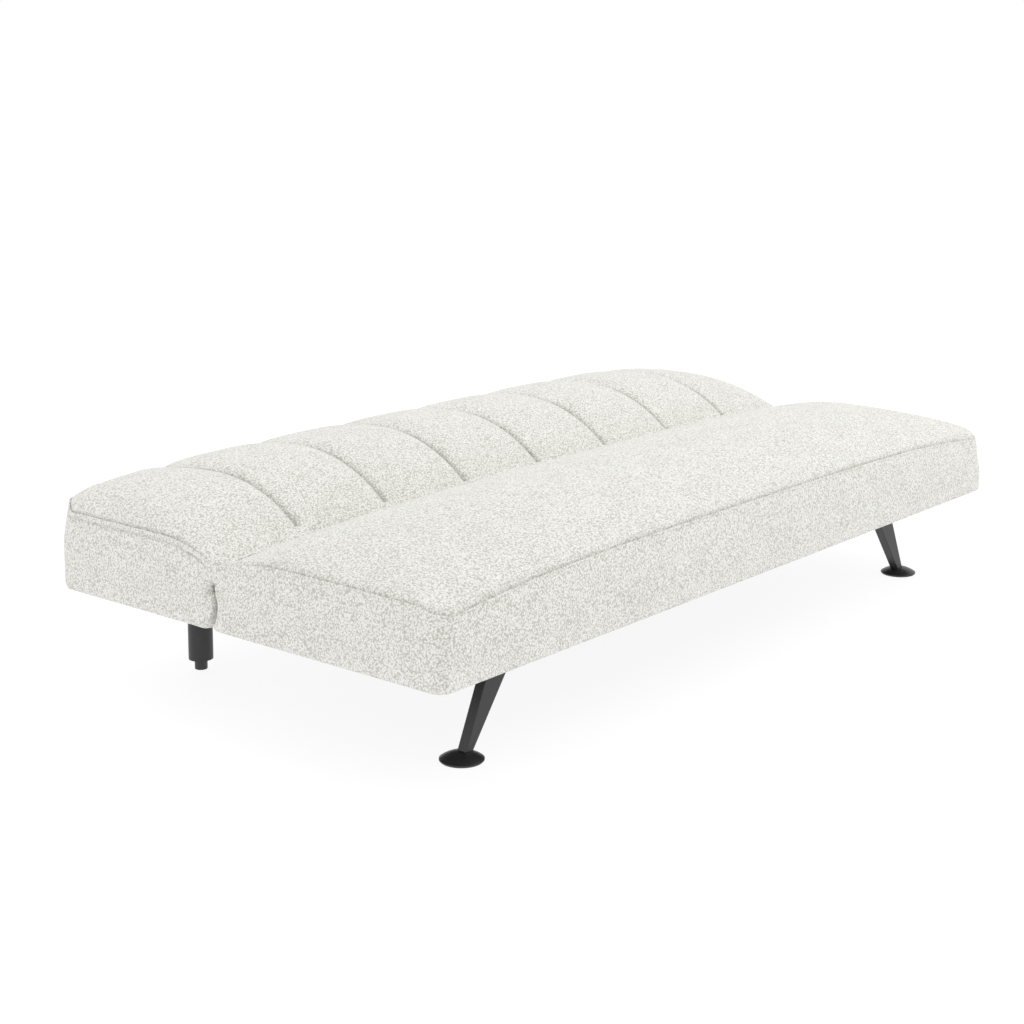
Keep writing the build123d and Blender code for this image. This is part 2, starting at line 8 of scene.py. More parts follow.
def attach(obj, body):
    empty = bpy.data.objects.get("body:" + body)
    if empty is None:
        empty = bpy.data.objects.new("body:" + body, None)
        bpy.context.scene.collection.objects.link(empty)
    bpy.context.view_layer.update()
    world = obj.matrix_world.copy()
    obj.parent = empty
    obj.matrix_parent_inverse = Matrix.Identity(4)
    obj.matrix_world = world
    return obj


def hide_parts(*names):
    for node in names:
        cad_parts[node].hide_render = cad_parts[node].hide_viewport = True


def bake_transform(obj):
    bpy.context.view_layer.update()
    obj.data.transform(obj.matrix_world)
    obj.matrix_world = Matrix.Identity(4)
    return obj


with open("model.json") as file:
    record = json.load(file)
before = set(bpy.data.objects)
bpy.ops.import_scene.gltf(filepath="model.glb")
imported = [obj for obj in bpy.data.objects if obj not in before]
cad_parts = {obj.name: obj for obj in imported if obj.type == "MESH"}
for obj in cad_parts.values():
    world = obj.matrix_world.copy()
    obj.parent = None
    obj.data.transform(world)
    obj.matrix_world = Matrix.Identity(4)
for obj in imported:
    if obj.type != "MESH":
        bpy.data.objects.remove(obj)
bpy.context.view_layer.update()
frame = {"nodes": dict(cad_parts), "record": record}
scene = bpy.context.scene
nodes = frame["nodes"]
print("frame loaded:", len(nodes), "nodes")

# the bed laid flat, in metres: x along the length, the seat's front towards -y, q measured away from the fold;
# each form's rises are above the underside, and its end values hold at both ends of the length
bed = dict(halfLength=0.900, seamLength=0.8895, foldY=0.040, pivotZ=0.290, underside=0.175,
           straightRise=0.090, drawInRise=0.240, drawIn=0.024, hemRadius=0.004, dipPower=4.4)
seatForm = dict(name="seat", side=-1, depth=0.515, hemCorner=0.021, seamCorner=0.040,
                crestReach=0.240, endReach=0.170, crestRise=0.214, endCrestRise=0.1365,
                seamRise=0.1375, endSeamRise=0.1130, rollWidth=0.062, endRollWidth=0.062, rollOver=-0.0055,
                crownShare=0.33, endCrownShare=0.085, endFall=3.0, slack=0.006,
                channels=0, channelDepth=0.0, slotReach=0.054,
                seamShade=0.42, flange=-0.0105, flangeShade=0.38, gatherShare=0.35)
backForm = dict(name="back", side=1, depth=0.435, hemCorner=0.049, seamCorner=0.049,
                crestReach=0.230, endReach=0.150, crestRise=0.228, endCrestRise=0.1455,
                seamRise=0.144, endSeamRise=0.142, rollWidth=0.052, endRollWidth=0.026, rollOver=0.003,
                crownShare=0.27, endCrownShare=0.05, endFall=4.8, slack=0.001,
                channels=8, channelDepth=0.009, slotReach=0.096,
                seamShade=0.42, flange=0.0108, flangeShade=0.45, gatherShare=1.0)
foldSide = dict(gapLow=0.0030, gapHigh=0.0009, radiusLow=0.014, radiusHigh=0.007, closeFrom=0.215, closeTo=0.262)
hingeSlot = dict(xLow=0.6995, xHigh=0.7255, middle=0.7125, top=0.281, overcut=0.02)
blank = dict(arcSteps=10, foldSteps=70, longSteps=240, baseRows=24, wallRows=24, crownRows=60, crownPower=1.7,
             slackFrom=0.12, hemTurns=(18, 36, 54, 72, 90), seamRounds=4, weld=0.0002)


def smoothStep(low, high, value):
    t = np.clip((value - low) / (high - low), 0, 1)
    return t * t * (3 - 2 * t)


def bell(value, width):
    return np.exp(-(value / width) ** 2)


def shadeSmooth(mesh):
    mesh.polygons.foreach_set("use_smooth", [True] * len(mesh.polygons))


def addMesh(name, verts, faces):
    mesh = bpy.data.meshes.new(name)
    mesh.from_pydata(np.asarray(verts, float).tolist(), [], [tuple(f) for f in faces])
    mesh.update()
    shadeSmooth(mesh)
    obj = bpy.data.objects.new(name, mesh)
    scene.collection.objects.link(obj)
    return obj


def bakeModifiers(obj):
    # swaps the mesh for the evaluated one and takes the modifiers off
    graph = bpy.context.evaluated_depsgraph_get()
    mesh = bpy.data.meshes.new_from_object(obj.evaluated_get(graph))
    obj.modifiers.clear()
    old = obj.data
    obj.data = mesh
    bpy.data.meshes.remove(old)
    return mesh


def meshVectors(mesh, kind):
    vectors = np.empty(len(mesh.vertices) * 3)
    mesh.vertices.foreach_get(kind, vectors)
    return vectors.reshape(-1, 3)


def setPoints(mesh, points):
    mesh.vertices.foreach_set("co", points.ravel())
    mesh.update()


# the crowned top: arcs from the fold over the crest to the rolled seam, fading towards both ends
def fullness(x, fall):
    return np.sqrt(1 - np.clip(np.abs(x) / bed["seamLength"], 0, 1) ** fall)


def channelPitch(form):
    return 2 * bed["halfLength"] / form["channels"]


def grooveShare(form, x):
    # 0 midway between two sewn channels, 1 on a channel line
    if not form["channels"]:
        return np.zeros_like(x)
    pitch = channelPitch(form)
    inner = np.clip(np.round(x / pitch), -(form["channels"] / 2 - 1), form["channels"] / 2 - 1)
    away = np.clip(np.abs(x - inner * pitch) / (pitch / 2), 0, 1)
    return 1 - away


def grooveAway(form, x):
    return (1 - grooveShare(form, x)) * channelPitch(form) / 2


def arcHeight(q, q0, z0, tq, tz, q1, z1):
    # the circle that leaves (q0, z0) along (tq, tz) and passes through (q1, z1)
    nq, nz = -tz, tq
    dq, dz = q1 - q0, z1 - z0
    radius = (dq * dq + dz * dz) / (2 * (nq * dq + nz * dz))
    cq, cz = q0 + nq * radius, z0 + nz * radius
    height = cz - np.sign(nz * radius) * np.sqrt(np.maximum(radius ** 2 - (q - cq) ** 2, 0))
    return height, cq, cz


def crownHeight(form, x, q):
    full = fullness(x, form["endFall"])
    base = bed["underside"]
    dip = form["channelDepth"] * grooveShare(form, x) ** bed["dipPower"]
    crest = base + form["endCrestRise"] + (form["crestRise"] - form["endCrestRise"]) * full - dip
    low = base + form["endSeamRise"] + (form["seamRise"] - form["endSeamRise"]) * full
    share = form["endCrownShare"] + (form["crownShare"] - form["endCrownShare"]) * full
    roll = crest - share * (crest - low)
    rollAt = form["depth"] - form["endRollWidth"] - (form["rollWidth"] - form["endRollWidth"]) * full
    reach = form["endReach"] + (form["crestReach"] - form["endReach"]) * full
    foldArc, _, _ = arcHeight(q, reach, crest, -1.0, 0.0, 0.0, bed["pivotZ"])
    crownArc, cq, cz = arcHeight(q, reach, crest, 1.0, 0.0, rollAt, roll)
    rq, rz = rollAt - cq, roll - cz
    length = np.hypot(rq, rz)
    rollArc, _, _ = arcHeight(q, rollAt, roll, rz / length, -rq / length, form["depth"] + form["rollOver"], low)
    return np.where(q < reach, foldArc, np.where(q < rollAt, crownArc, rollArc))


def wallInset(z):
    lean = (z - bed["underside"] - bed["straightRise"]) / (bed["drawInRise"] - bed["straightRise"])
    return bed["drawIn"] * np.maximum(lean, 0)


def planRing(form, near, foldRadius, big):
    # points round the plan in (x, q), with the way inwards at each
    half, far = bed["halfLength"], form["depth"]
    corners = [(half - foldRadius, near + foldRadius, foldRadius, -90),
               (half - big, far - big, big, 0),
               (-half + big, far - big, big, 90),
               (-half + foldRadius, near + foldRadius, foldRadius, 180)]
    counts = [blank["foldSteps"], blank["longSteps"]] * 2
    ring, inward = [], []
    for i, (cx, cq, radius, start) in enumerate(corners):
        for step in range(blank["arcSteps"] + 1):
            turn = math.radians(start + 90 * step / blank["arcSteps"])
            ring.append((cx + radius * math.cos(turn), cq + radius * math.sin(turn)))
            inward.append((-math.cos(turn), -math.sin(turn)))
        nx, nq, nradius, nstart = corners[(i + 1) % 4]
        turn = math.radians(nstart)
        end = (nx + nradius * math.cos(turn), nq + nradius * math.sin(turn))
        begin = ring[-1]
        for step in range(1, counts[i]):
            t = step / counts[i]
            ring.append((begin[0] + (end[0] - begin[0]) * t, begin[1] + (end[1] - begin[1]) * t))
            inward.append((-math.cos(turn), -math.sin(turn)))
    inward = np.array(inward)
    inward[inward[:, 1] > 0, 1] = 0.0   # the fold's wall stays upright
    return np.array(ring), inward


def hemRing(form):
    return planRing(form, foldSide["gapLow"], foldSide["radiusLow"], form["hemCorner"])


def wallPoints(form, z):
    # plan points of the wall at heights z, one for each point of the ring
    close = smoothStep(foldSide["closeFrom"], foldSide["closeTo"], z)[:, None]
    low, inward = hemRing(form)
    high, _ = planRing(form, foldSide["gapHigh"], foldSide["radiusHigh"], form["seamCorner"])
    return low * (1 - close) + high * close + inward * wallInset(z)[:, None]


def seamHeights(form):
    # where the crown meets the drawn-in wall, found in a few rounds
    z = np.full(len(hemRing(form)[0]), bed["underside"] + form["seamRise"])
    for _ in range(blank["seamRounds"]):
        plan = wallPoints(form, z)
        z = crownHeight(form, plan[:, 0], plan[:, 1])
    return z


def toWorld(form, plan, z):
    return np.column_stack([plan[:, 0], bed["foldY"] + form["side"] * plan[:, 1], z])


def foldDistance(form, points):
    return form["side"] * (points[:, 1] - bed["foldY"])


def seamRing(form, drop=0.0):
    z = seamHeights(form) - drop
    return toWorld(form, wallPoints(form, z), z)


def cushionBlank(form):
    # a closed block with the crown, the drawn-in walls and a rounded hem, a little slack on top
    top = seamHeights(form)
    wallTop = wallPoints(form, top)
    spineEnd = bed["halfLength"] - form["depth"] / 2
    midX = np.clip(wallTop[:, 0], -spineEnd, spineEnd)
    spine = np.column_stack([midX, np.full(len(midX), form["depth"] / 2)])
    low, inward = hemRing(form)
    count = len(low)
    hem = bed["hemRadius"]
    hemIn = low + inward * hem
    rows = []
    for s in np.linspace(0, 1, blank["baseRows"]):
        rows.append(toWorld(form, spine + (hemIn - spine) * s, np.full(count, bed["underside"])))
    for turn in np.radians(blank["hemTurns"]):
        plan = low + inward * hem * (1 - math.sin(turn))
        rows.append(toWorld(form, plan, np.full(count, bed["underside"] + hem * (1 - math.cos(turn)))))
    start = bed["underside"] + hem
    for t in np.linspace(0, 1, blank["wallRows"])[1:]:
        z = start + (top - start) * t
        rows.append(toWorld(form, wallPoints(form, z), z))
    for u in np.linspace(0, 1, blank["crownRows"])[1:]:
        s = 1 - u ** blank["crownPower"]
        plan = spine + (wallTop - spine) * s
        z = crownHeight(form, plan[:, 0], plan[:, 1])
        rows.append(toWorld(form, plan, z - form["slack"] * smoothStep(0, blank["slackFrom"], 1 - s)))
    faces = []
    for r in range(len(rows) - 1):
        for i in range(count):
            j = (i + 1) % count
            quad = (r * count + i, r * count + j, (r + 1) * count + j, (r + 1) * count + i)
            faces.append(quad if form["side"] > 0 else quad[::-1])
    obj = addMesh(form["name"] + "Blank", np.vstack(rows), faces)
    weld = obj.modifiers.new("weld", "WELD")
    weld.merge_threshold = blank["weld"]
    bakeModifiers(obj)
    return obj


def cutHingeSlots(obj, form):
    # room under the top for the hinge plates, as in the CAD solid
    over = hingeSlot["overcut"]
    y0, y1 = sorted(bed["foldY"] + form["side"] * q for q in (-over, form["slotReach"]))
    z0, z1 = bed["underside"] - over, hingeSlot["top"]
    quads = [(0, 2, 3, 1), (4, 5, 7, 6), (0, 1, 5, 4), (1, 3, 7, 5), (3, 2, 6, 7), (2, 0, 4, 6)]
    for side in (-1, 1):
        x0, x1 = sorted((side * hingeSlot["xLow"], side * hingeSlot["xHigh"]))
        corners = [(x, y, z) for z in (z0, z1) for y in (y0, y1) for x in (x0, x1)]
        tool = addMesh("slotTool", corners, quads)
        cut = obj.modifiers.new("slot", "BOOLEAN")
        cut.operation = "DIFFERENCE"
        cut.solver = "EXACT"
        cut.object = tool
        bakeModifiers(obj)
        bpy.data.objects.remove(tool, do_unlink=True)


def nearest(points, line):
    # distance to the line's closest point and that point's number
    tree = kdtree.KDTree(len(line))
    for i, p in enumerate(line):
        tree.insert(p, i)
    tree.balance()
    found = [tree.find(p) for p in points]
    return np.array([f[2] for f in found]), np.array([f[1] for f in found])


def densify(line, step, closed=True):
    line = np.asarray(line)
    if closed:
        line = np.vstack([line, line[:1]])
    span = np.concatenate([[0], np.cumsum(np.linalg.norm(np.diff(line, axis=0), axis=1))])
    at = np.arange(0, span[-1], step)
    return np.column_stack([np.interp(at, span, line[:, k]) for k in range(3)])


puffing = dict(voxel=0.008, pressure=4.5, frames=20, cap=0.024, quality=3, mass=0.12, stretch=6, shear=3,
               bending=0.5, drag=2)
pinned = dict(step=0.003, seam=0.020, hemLow=0.185, hemHigh=0.215, foldNear=0.012, foldFar=0.035,
              channelNear=0.003, channelFar=0.016, slotSide=0.03, slotPast=0.02, slotTop=0.29, least=0.001)


def pinWeights(form, points):
    # the seam, the channels, the hem, the hinge slots and the fold's wall are held; the rest may swell
    q, z = foldDistance(form, points), points[:, 2]
    seamAway, _ = nearest(points, densify(seamRing(form), pinned["step"]))
    hold = 1 - smoothStep(0, pinned["seam"], seamAway)
    hold = np.maximum(hold, 1 - smoothStep(pinned["hemLow"], pinned["hemHigh"], z))
    hold = np.maximum(hold, 1 - smoothStep(pinned["foldNear"], pinned["foldFar"], q))
    if form["channels"]:
        line = grooveAway(form, points[:, 0])
        onTop = z > bed["pivotZ"]
        hold = np.maximum(hold, onTop * (1 - smoothStep(pinned["channelNear"], pinned["channelFar"], line)))
    slot = np.abs(np.abs(points[:, 0]) - hingeSlot["middle"]) < pinned["slotSide"]
    slot &= (q < form["slotReach"] + pinned["slotPast"]) & (z < pinned["slotTop"])
    return np.where(slot, 1.0, hold)


def puffUp(obj, form):
    # an even grid, then the cloth simulation with pressure inside
    remesh = obj.modifiers.new("remesh", "REMESH")
    remesh.mode = "VOXEL"
    remesh.voxel_size = puffing["voxel"]
    before = meshVectors(bakeModifiers(obj), "co")
    pins = obj.vertex_groups.new(name="pins")
    for i, w in enumerate(pinWeights(form, before)):
        if w > pinned["least"]:
            pins.add([i], float(w), "REPLACE")
    cloth = obj.modifiers.new("cloth", "CLOTH")
    cloth.settings.quality = puffing["quality"]
    cloth.settings.mass = puffing["mass"]
    cloth.settings.tension_stiffness = puffing["stretch"]
    cloth.settings.compression_stiffness = puffing["stretch"]
    cloth.settings.shear_stiffness = puffing["shear"]
    cloth.settings.bending_stiffness = puffing["bending"]
    cloth.settings.air_damping = puffing["drag"]
    cloth.settings.use_pressure = True
    cloth.settings.uniform_pressure_force = puffing["pressure"]
    cloth.settings.vertex_group_mass = "pins"
    cloth.settings.effector_weights.gravity = 0
    cloth.point_cache.frame_start = 1
    cloth.point_cache.frame_end = puffing["frames"]
    for f in range(1, puffing["frames"] + 1):
        scene.frame_set(f)
    graph = bpy.context.evaluated_depsgraph_get()
    after = meshVectors(obj.evaluated_get(graph).data, "co").copy()
    obj.modifiers.clear()
    obj.vertex_groups.clear()
    scene.frame_set(1)
    move = after - before
    far = np.linalg.norm(move, axis=1)
    move *= np.minimum(1, puffing["cap"] / np.maximum(far, 1e-9))[:, None]
    setPoints(obj.data, before + move)
    print(form["name"], "swelled: mean", round(far.mean() * 1000, 2), "mm, most", round(far.max() * 1000, 2), "mm")


def makeCushion(form):
    obj = cushionBlank(form)
    cutHingeSlots(obj, form)
    puffUp(obj, form)
    obj.name = form["name"] + "Cushion"
    obj.data.name = obj.name
    return obj


def subdivide(obj):
    smooth = obj.modifiers.new("smooth", "SUBSURF")
    smooth.levels = 1
    smooth.render_levels = 1
    bakeModifiers(obj)
    shadeSmooth(obj.data)


# seam and channelSeam also give the width of the painted shade line along their seams; channelSeam's shade is how dark
# the painted shade in the channels is
seam = dict(sink=0.0030, width=0.0045, flangeSink=0.0014, flangeWidth=0.0030, paintedCreaseShade=0.0032, step=0.0015,
            fadeNear=0.010, fadeFar=0.030)
channelSeam = dict(sink=0.0088, width=0.0085, thread=0.0020, threadWidth=0.0030, paintedCreaseShade=0.0034, shade=0.85,
                   seamClear=0.010, steep=0.22, level=0.42, below=0.004)
pucker = dict(height=0.0011, reach=0.026, waves=((31.0, 0.4), (53.0, 2.1), (83.0, 4.0)), round=4.0,
              wander=1.7, wanderRate=9, clearNear=0.002, clearFar=0.010)
gather = dict(depth=0.0028, reach=0.052, at=(0.004, 0.247), rays=6.0, twist=55, turn=1.3,
              clearNear=0.008, clearFar=0.030)
# endCrease: the bend and shift of the cloth at each end's crease, and the strength and width of the painted shade along
# it
endCrease = dict(bend=0.015, shift=0.014, reach=0.030, low=0.178, high=0.268, width=0.0055, shade=0.75,
                 fadeFrom=0.75, endFrom=0.03, endTo=0.012)


def pressChannels(form, points, normals, away):
    # how deep the sewn channels sink, and the painted shade that darkens their creases
    line = grooveAway(form, points[:, 0])
    rim = smoothStep(0.0, channelSeam["seamClear"], away)
    rim = rim * smoothStep(channelSeam["steep"], channelSeam["level"], normals[:, 2])
    rim = rim * (points[:, 2] > bed["pivotZ"] - channelSeam["below"])
    valley = channelSeam["sink"] * np.exp(-line / channelSeam["width"])
    valley += channelSeam["thread"] * bell(line, channelSeam["threadWidth"])
    return valley * rim, channelSeam["shade"] * bell(line, channelSeam["paintedCreaseShade"]) * rim


def puckers(along, away):
    # small waves of the cloth next to the seam
    ripple = sum(np.sin(2 * np.pi * along * count / pucker["round"] + start
                        + pucker["wander"] * np.sin(along * pucker["wanderRate"] + start))
                 for count, start in pucker["waves"]) / len(pucker["waves"])
    clear = smoothStep(pucker["clearNear"], pucker["clearFar"], away)
    return pucker["height"] * ripple * np.exp(-away / pucker["reach"]) * clear


def gathers(form, q, z, away):
    # a fan of folds on each end, above the crease between seat and back
    dq, dz = q - gather["at"][0], z - gather["at"][1]
    reach = np.hypot(dq, dz)
    fan = np.sin(gather["rays"] * np.arctan2(dz, dq) + gather["twist"] * reach + gather["turn"] * form["side"])
    calm = smoothStep(gather["clearNear"], gather["clearFar"], away)
    return form["gatherShare"] * gather["depth"] * fan * bell(reach, gather["reach"]) * calm


def sewSeams(obj, form):
    # presses the seams and channels into the swollen skin, bends the crease at each end, and stores painted shade along
    # the seam lines, the channels and the end crease for the cloth's colour
    mesh = obj.data
    points, normals = meshVectors(mesh, "co"), meshVectors(mesh, "normal")
    q = foldDistance(form, points)
    away, spot = nearest(points, densify(seamRing(form), seam["step"]))
    second, _ = nearest(points, densify(seamRing(form, form["flange"]), seam["step"]))
    outer = smoothStep(seam["fadeNear"], seam["fadeFar"], q)
    depth = seam["sink"] * bell(away, seam["width"]) * outer
    depth += seam["flangeSink"] * bell(second, seam["flangeWidth"]) * outer
    # painted shade: a darker line along the seam and along the flange line beside it, where shade falls in the seam
    paintedCreaseShade = form["seamShade"] * bell(away, seam["paintedCreaseShade"]) * outer
    paintedCreaseShade = np.maximum(paintedCreaseShade, form["flangeShade"] * bell(second, seam["paintedCreaseShade"]) * outer)
    if form["channels"]:
        sunk, dark = pressChannels(form, points, normals, away)
        depth += sunk
        paintedCreaseShade = np.maximum(paintedCreaseShade, dark)
    depth += puckers(spot * seam["step"], away) * outer
    half = bed["halfLength"]
    onEnd = smoothStep(half - endCrease["endFrom"], half - endCrease["endTo"], np.abs(points[:, 0]))
    depth += gathers(form, q, points[:, 2], away) * onEnd
    tall = np.clip((points[:, 2] - endCrease["low"]) / (endCrease["high"] - endCrease["low"]), 0, 1)
    arch = np.sin(np.pi * tall) * onEnd
    # painted shade along the crease at each end between seat and back, strongest half way up
    paintedCreaseShade = np.maximum(paintedCreaseShade, endCrease["shade"] * bell(q, endCrease["width"]) * np.sqrt(arch))
    # the painted shade amount is kept on the points and darkens the cloth's colour
    shade = mesh.attributes.new("paintedCreaseShade", "FLOAT", "POINT")
    shade.data.foreach_set("value", paintedCreaseShade.astype(np.float32))
    pressed = points - normals * depth[:, None]
    sway = endCrease["shift"] * (1 - smoothStep(endCrease["fadeFrom"], 1.0, tall)) * onEnd - endCrease["bend"] * arch
    pressed[:, 1] += sway * bell(q, endCrease["reach"])
    setPoints(mesh, pressed)


seatCushion = makeCushion(seatForm)
backCushion = makeCushion(backForm)
for cushion, form in ((seatCushion, seatForm), (backCushion, backForm)):
    subdivide(cushion)
    sewSeams(cushion, form)
    print(cushion.name, "has", len(cushion.data.polygons), "faces")


# node helpers: a value that is a socket is linked, any other is set
def plug(tree, socket, value):
    if isinstance(value, bpy.types.NodeSocket):
        tree.links.new(value, socket)
    else:
        socket.default_value = value


def feed(tree, node, **inputs):
    # fills inputs by name, with _ for a space
    for key, value in inputs.items():
        plug(tree, node.inputs[key.replace("_", " ")], value)
    return node


def put(tree, kind, *values, **settings):
    # makes a node; positional values fill its inputs in order, None leaves one alone
    node = tree.nodes.new("ShaderNode" + kind)
    for key, value in settings.items():
        setattr(node, key, value)
    for socket, value in zip(node.inputs, values):
        if value is not None:
            plug(tree, socket, value)
    return node


# sewn bands and stitches follow the seams through node trees
def nodeTree(name, inputs):
    tree = bpy.data.node_groups.new(name, "GeometryNodeTree")
    for label, kind in inputs:
        tree.interface.new_socket(label, in_out="INPUT", socket_type="NodeSocket" + kind)
    tree.interface.new_socket("Geometry", in_out="OUTPUT", socket_type="NodeSocketGeometry")
    return tree, tree.nodes.new("NodeGroupInput"), tree.nodes.new("NodeGroupOutput")


def chain(tree, kind, mode=None, **links):
    node = tree.nodes.new("GeometryNode" + kind)
    if mode:
        node.mode = mode
    return feed(tree, node, **links)


bandProfile = dict(Resolution=14, Radius=0.5)
stitchBead = dict(Segments=6, Rings=4, Radius=0.5)


def bandTree():
    tree, given, result = nodeTree("sewnBand", [("Path", "Geometry"), ("Width", "Float"), ("Thickness", "Float"),
                                                ("Finish", "Material")])
    curve = chain(tree, "MeshToCurve", Mesh=given.outputs["Path"])
    upright = chain(tree, "SetCurveNormal", mode="Z_UP", Curve=curve.outputs[0])
    circle = chain(tree, "CurvePrimitiveCircle", **bandProfile)
    size = put(tree, "CombineXYZ", given.outputs["Thickness"], given.outputs["Width"], 1.0)
    profile = chain(tree, "Transform", Geometry=circle.outputs[0], Scale=size.outputs[0])
    tube = chain(tree, "CurveToMesh", Curve=upright.outputs[0], Profile_Curve=profile.outputs[0], Fill_Caps=True)
    smooth = chain(tree, "SetShadeSmooth", Geometry=tube.outputs[0])
    whole = chain(tree, "RealizeInstances", Geometry=smooth.outputs[0])
    dressed = chain(tree, "SetMaterial", Geometry=whole.outputs[0], Material=given.outputs["Finish"])
    tree.links.new(dressed.outputs[0], result.inputs[0])
    return tree


def stitchTree():
    tree, given, result = nodeTree("stitchRow", [("Path", "Geometry"), ("Pitch", "Float"), ("Length", "Float"),
                                                 ("Thread", "Float"), ("Finish", "Material")])
    curve = chain(tree, "MeshToCurve", Mesh=given.outputs["Path"])
    points = chain(tree, "CurveToPoints", mode="LENGTH", Curve=curve.outputs[0], Length=given.outputs["Pitch"])
    bead = chain(tree, "MeshUVSphere", **stitchBead)
    size = put(tree, "CombineXYZ", given.outputs["Thread"], given.outputs["Thread"], given.outputs["Length"])
    rows = chain(tree, "InstanceOnPoints", Points=points.outputs[0], Instance=bead.outputs[0],
                 Rotation=points.outputs["Rotation"], Scale=size.outputs[0])
    whole = chain(tree, "RealizeInstances", Geometry=rows.outputs[0])
    smooth = chain(tree, "SetShadeSmooth", Geometry=whole.outputs[0])
    dressed = chain(tree, "SetMaterial", Geometry=smooth.outputs[0], Material=given.outputs["Finish"])
    tree.links.new(dressed.outputs[0], result.inputs[0])
    return tree


def grownAlong(name, lines, tree, **values):
    # runs a tree on open poly lines and keeps the plain mesh
    verts, edges = [], []
    for points in lines:
        start = len(verts)
        verts.extend(points.tolist())
        edges.extend((start + i, start + i + 1) for i in range(len(points) - 1))
    mesh = bpy.data.meshes.new(name)
    mesh.from_pydata(verts, edges, [])
    obj = bpy.data.objects.new(name, mesh)
    scene.collection.objects.link(obj)
    grow = obj.modifiers.new("grow", "NODES")
    grow.node_group = tree
    for item in tree.interface.items_tree:
        if item.in_out == "INPUT" and item.name in values:
            grow[item.identifier] = values[item.name]
    bakeModifiers(obj)
    return obj


def onSkin(obj, points, lift):
    # drops path points onto the finished skin, lifted a little off it
    settled = []
    for p in points:
        _, place, normal, _ = obj.closest_point_on_mesh(Vector(p))
        settled.append(place + normal * lift)
    return np.array(settled)


# finishes: node trees on Object coordinates
def newFinish(name):
    mat = bpy.data.materials.new(name)
    mat.use_nodes = True
    return mat, mat.node_tree, mat.node_tree.nodes["Principled BSDF"]


def objectPoints(tree):
    return put(tree, "TexCoord").outputs["Object"]


def cloudy(tree, at, scale, detail=2.0, rough=0.5):
    return feed(tree, put(tree, "TexNoise"), Vector=at, Scale=scale, Detail=detail, Roughness=rough)


def blendMaths(tree, operation, a, b, c=None):
    return put(tree, "Math", a, b, c, operation=operation).outputs[0]


def ramp(tree, value, stops):
    node = put(tree, "ValToRGB", value)
    band = node.color_ramp
    while len(band.elements) < len(stops):
        band.elements.new(0.5)
    for element, (place, colour) in zip(band.elements, stops):
        element.position = place
        element.color = (*colour, 1)
    return node.outputs["Color"]


def bumped(tree, shader, height, strength, distance):
    node = put(tree, "Bump")
    feed(tree, node, Height=height, Strength=strength, Distance=distance)
    tree.links.new(node.outputs["Normal"], shader.inputs["Normal"])


# shade, body and tip colour the loops: shade partly paints the shade between the loops and partly marks dark flecks,
# tip partly paints lighter loop tops; the darkest colour is painted shade for seams, channels and the end crease
boucle = dict(curl=300.0, fine=800.0, fleck=205.0, fleckDetail=3, fleckRough=0.65, swirl=130.0, patch=18.0,
              warp=0.0036, napShare=0.35, fleckShare=0.7, patchShare=0.16, paintedShadeShare=0.75, stops=(0.52, 0.78, 1.0),
              shade=(0.505, 0.50, 0.456), body=(0.731, 0.725, 0.684), tip=(0.846, 0.843, 0.812),
              paintedShadeTone=(0.40, 0.39, 0.35), bump=0.46, loop=0.0017,
              surface=dict(Roughness=0.95, Sheen_Weight=0.25, Sheen_Roughness=0.6, Specular_IOR_Level=0.15))


def boucleFinish():
    mat, tree, shader = newFinish("ivoryBoucle")
    at = objectPoints(tree)
    swirl = cloudy(tree, at, boucle["swirl"]).outputs["Color"]
    centred = put(tree, "VectorMath", swirl, (0.5, 0.5, 0.5), operation="SUBTRACT").outputs[0]
    moved = put(tree, "VectorMath", centred, operation="SCALE")
    moved.inputs["Scale"].default_value = boucle["warp"]
    warped = put(tree, "VectorMath", at, moved.outputs[0], operation="ADD").outputs[0]
    curls = feed(tree, put(tree, "TexVoronoi"), Vector=warped, Scale=boucle["curl"])
    fine = feed(tree, put(tree, "TexVoronoi"), Vector=warped, Scale=boucle["fine"])
    fleck = cloudy(tree, at, boucle["fleck"], boucle["fleckDetail"], boucle["fleckRough"]).outputs["Fac"]
    patch = cloudy(tree, at, boucle["patch"]).outputs["Fac"]
    dome = blendMaths(tree, "SUBTRACT", 1.0, curls.outputs["Distance"])
    nap = blendMaths(tree, "MULTIPLY", fine.outputs["Distance"], boucle["napShare"])
    height = blendMaths(tree, "SUBTRACT", dome, nap)
    lumpy = blendMaths(tree, "MULTIPLY_ADD", fleck, boucle["fleckShare"], height)
    tone = blendMaths(tree, "MULTIPLY_ADD", patch, boucle["patchShare"], lumpy)
    # the ramp paints shade into the low places between the loops and lighter loop tops, mixed with random flecks and
    # patches of tone
    colour = ramp(tree, tone, list(zip(boucle["stops"], (boucle["shade"], boucle["body"], boucle["tip"]))))
    # painted shade: the stored amount multiplies a dark tone into the cloth along seams, channels and the end crease
    paintedCreaseShade = put(tree, "Attribute", attribute_name="paintedCreaseShade").outputs["Fac"]
    shaded = put(tree, "Mix", data_type="RGBA", blend_type="MULTIPLY")
    tree.links.new(blendMaths(tree, "MULTIPLY", paintedCreaseShade, boucle["paintedShadeShare"]), shaded.inputs["Factor"])
    tree.links.new(colour, shaded.inputs["A"])
    shaded.inputs["B"].default_value = (*boucle["paintedShadeTone"], 1)
    tree.links.new(shaded.outputs["Result"], shader.inputs["Base Color"])
    feed(tree, shader, **boucle["surface"])
    bumped(tree, shader, lumpy, boucle["bump"], boucle["loop"])
    return mat


grainMix = dict(fine=0.55, broad=0.45, broadScale=9, detail=4, rough=0.6, low=0.3, high=0.7,
                roughLow=0.25, roughHigh=0.75, roughBy=0.08)


